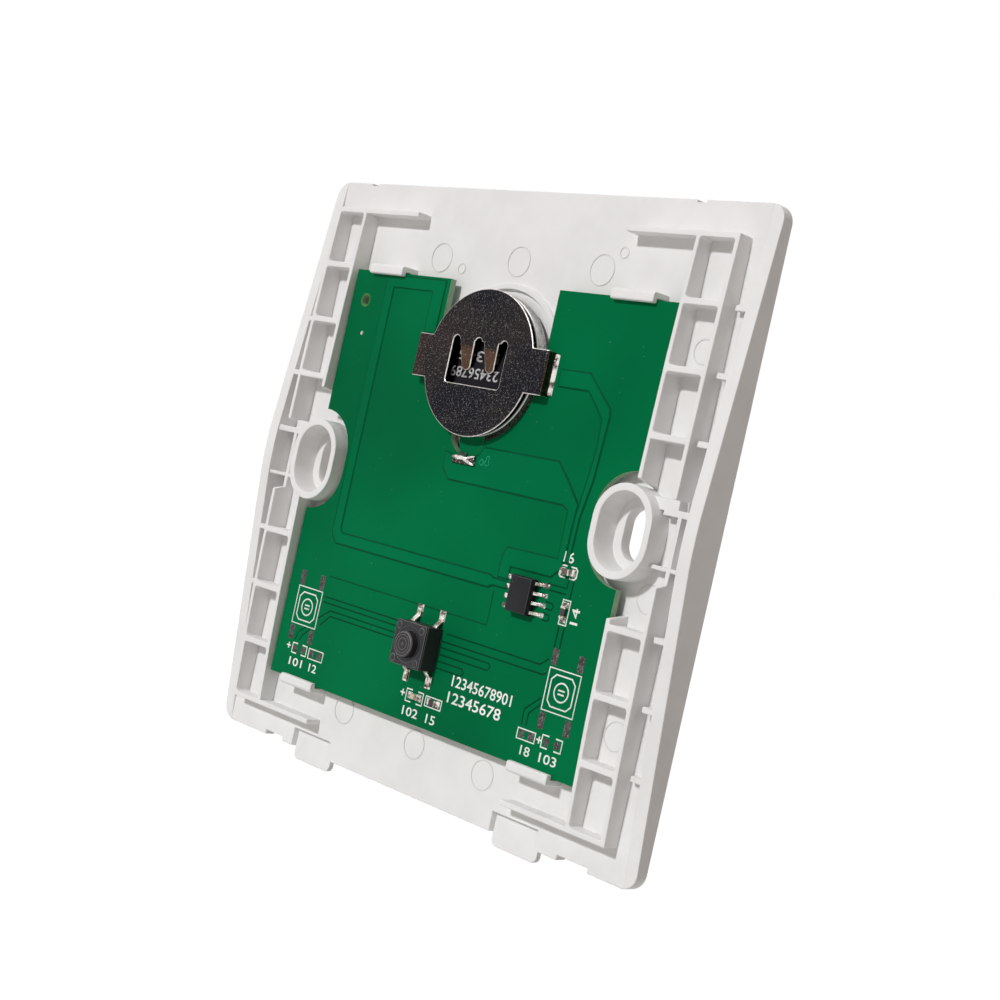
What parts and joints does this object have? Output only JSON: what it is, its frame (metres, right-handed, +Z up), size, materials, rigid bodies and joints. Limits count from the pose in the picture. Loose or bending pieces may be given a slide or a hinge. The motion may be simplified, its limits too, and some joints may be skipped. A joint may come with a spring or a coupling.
{
  "type": "wireless remote wall switch",
  "caption": "Square wall plate of a wireless switch, front off, with ribbed sides, green radio board, coin cell under a stamped retainer and a push switch that travels.",
  "frame": {"origin": "centre of the back face that lies on the wall, midway between the two screw slots", "axes": "+X to the right seen from the room, +Y into the wall, +Z up on the wall"},
  "size_m": [0.0844, 0.008, 0.0863],
  "materials": {
    "base_plastic": "satin moulded",
    "board_laminate": "glossy solder mask",
    "cell_steel": "bright stainless",
    "contact_steel": "bright stamped sheet",
    "tinned_metal": "tinned",
    "solder": "bright flowed",
    "switch_plastic": "satin black",
    "chip_plastic": "matt moulded",
    "capacitor_ceramic": "fired",
    "resistor_ceramic": "glazed",
    "led_ceramic": "matt",
    "led_resin": "clear cast"
  },
  "bodies": {
    "base": {"base_plate": "base_plastic", "circuit_board": "board_laminate", "coin_cell": "cell_steel", "cell_retainer": "contact_steel", "cell_contact": "contact_steel", "retainer_solder": "solder", "contact_solder": "solder", "switch_housing": "switch_plastic", "switch_cover": "switch_plastic", "switch_dome": "contact_steel", "switch_leads": "tinned_metal", "switch_solder": "solder", "chip_body": "chip_plastic", "chip_leads": "tinned_metal", "chip_solder": "solder", "capacitor_body": "capacitor_ceramic", "capacitor_ends": "tinned_metal", "resistor_bodies": "resistor_ceramic", "resistor_ends": "tinned_metal", "led_base": "led_ceramic", "led_lens": "led_resin", "led_ends": "tinned_metal", "small_part_solder": "solder"},
    "plunger": {"switch_plunger": "switch_plastic"}
  },
  "joints": [
    {"name": "plunger_press", "type": "slide", "parent": "base", "child": "plunger", "axis": [0, 1, 0], "range_m": [0, 0.00025], "stiffness_N_per_m": 6400, "springref_m": -0.00005, "deforming": ["switch_dome"]}
  ]
}
